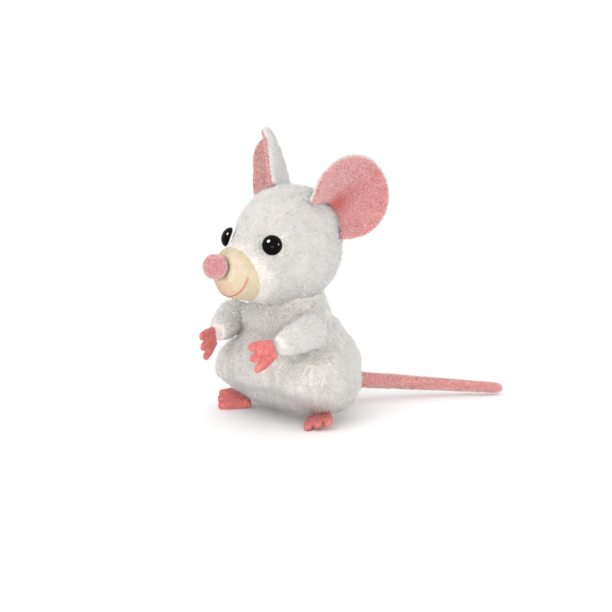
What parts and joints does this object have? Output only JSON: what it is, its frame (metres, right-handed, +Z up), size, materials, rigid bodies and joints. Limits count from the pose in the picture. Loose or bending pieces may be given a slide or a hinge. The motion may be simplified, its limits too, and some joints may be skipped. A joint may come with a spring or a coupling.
{
  "type": "plush mouse",
  "caption": "Sewn plush mouse sitting upright, with felt hands and feet, cupped ears, a stuffed tail, domed eyes and a pellet-weighted flat seat.",
  "frame": {"origin": "centre of the flat base panel that the mouse sits on", "axes": "+Z up, the mouse faces -Y and its left side is +X"},
  "size_m": [0.0943, 0.1631, 0.14],
  "materials": {
    "white_plush": "short-pile white plush",
    "cream_velour": "cream velour",
    "pink_terry": "pink brushed terry",
    "rose_terry": "rose brushed terry",
    "coral_felt": "coral felt",
    "eye_plastic": "polished black",
    "red_thread": "embroidery thread",
    "white_thread": "sewing thread",
    "filling": "polyester fibre filling",
    "pellet_cloth": "pellets in a cotton bag",
    "washer_plastic": "natural plastic"
  },
  "bodies": {
    "body": {"body_cover": "white_plush", "base_panel": "white_plush", "body_filling": "filling", "pellet_bag": "pellet_cloth", "neck_thread": "white_thread", "leg_cover_left": "white_plush", "leg_cover_right": "white_plush", "leg_filling_left": "filling", "leg_filling_right": "filling", "foot_left": "coral_felt", "foot_right": "coral_felt"},
    "neck": {"neck_filling": "filling"},
    "head": {"head_cover": "white_plush", "muzzle_panel": "cream_velour", "head_filling": "filling", "nose": "rose_terry", "mouth_stitch": "red_thread", "eye_left": "eye_plastic", "eye_right": "eye_plastic", "eye_washer_left": "washer_plastic", "eye_washer_right": "washer_plastic"},
    "tail": {"tail_cover": "pink_terry", "tail_filling": "filling"},
    "arm_left": {"arm_cover_left": "white_plush", "arm_filling_left": "filling"},
    "hand_left": {"hand_left": "coral_felt"},
    "ear_left": {"ear_front_left": "pink_terry", "ear_back_left": "white_plush"},
    "arm_right": {"arm_cover_right": "white_plush", "arm_filling_right": "filling"},
    "hand_right": {"hand_right": "coral_felt"},
    "ear_right": {"ear_front_right": "pink_terry", "ear_back_right": "white_plush"}
  },
  "joints": [
    {"name": "neck_turn", "type": "hinge", "parent": "body", "child": "neck", "pos_m": [0, -0.0035, 0.06], "axis": [0, 0, 1], "range_deg": [-15, 15], "stiffness_Nm_per_rad": 0.06},
    {"name": "head_nod", "type": "hinge", "parent": "neck", "child": "head", "pos_m": [0, -0.0035, 0.06], "axis": [1, 0, 0], "range_deg": [-8, 6], "stiffness_Nm_per_rad": 0.12},
    {"name": "tail_swing", "type": "hinge", "parent": "body", "child": "tail", "pos_m": [0, 0.0306, 0.0117], "axis": [0, 0, 1], "range_deg": [-20, 20], "stiffness_Nm_per_rad": 0.02},
    {"name": "shoulder_left", "type": "hinge", "parent": "body", "child": "arm_left", "pos_m": [0.0268, -0.0164, 0.048], "axis": [-1, 0, 0], "range_deg": [-8, 22], "stiffness_Nm_per_rad": 0.02},
    {"name": "wrist_left", "type": "hinge", "parent": "arm_left", "child": "hand_left", "pos_m": [0.02121, -0.03484, 0.04178], "axis": [-0.0891, -0.2938, 0.9517], "range_deg": [-20, 20], "stiffness_Nm_per_rad": 0.004},
    {"name": "ear_fold_left", "type": "hinge", "parent": "head", "child": "ear_left", "pos_m": [0.02202, 0.00568, 0.10305], "axis": [0.2772, 0.654, -0.7039], "range_deg": [-6, 14], "stiffness_Nm_per_rad": 0.008},
    {"name": "shoulder_right", "type": "hinge", "parent": "body", "child": "arm_right", "pos_m": [-0.0268, -0.0164, 0.048], "axis": [-1, 0, 0], "range_deg": [-8, 22], "stiffness_Nm_per_rad": 0.02},
    {"name": "wrist_right", "type": "hinge", "parent": "arm_right", "child": "hand_right", "pos_m": [-0.02121, -0.03484, 0.04178], "axis": [0.0891, -0.2938, 0.9517], "range_deg": [-20, 20], "stiffness_Nm_per_rad": 0.004},
    {"name": "ear_fold_right", "type": "hinge", "parent": "head", "child": "ear_right", "pos_m": [-0.01897, 0.00209, 0.10944], "axis": [0.7025, -0.4392, 0.56], "range_deg": [-6, 14], "stiffness_Nm_per_rad": 0.008}
  ]
}
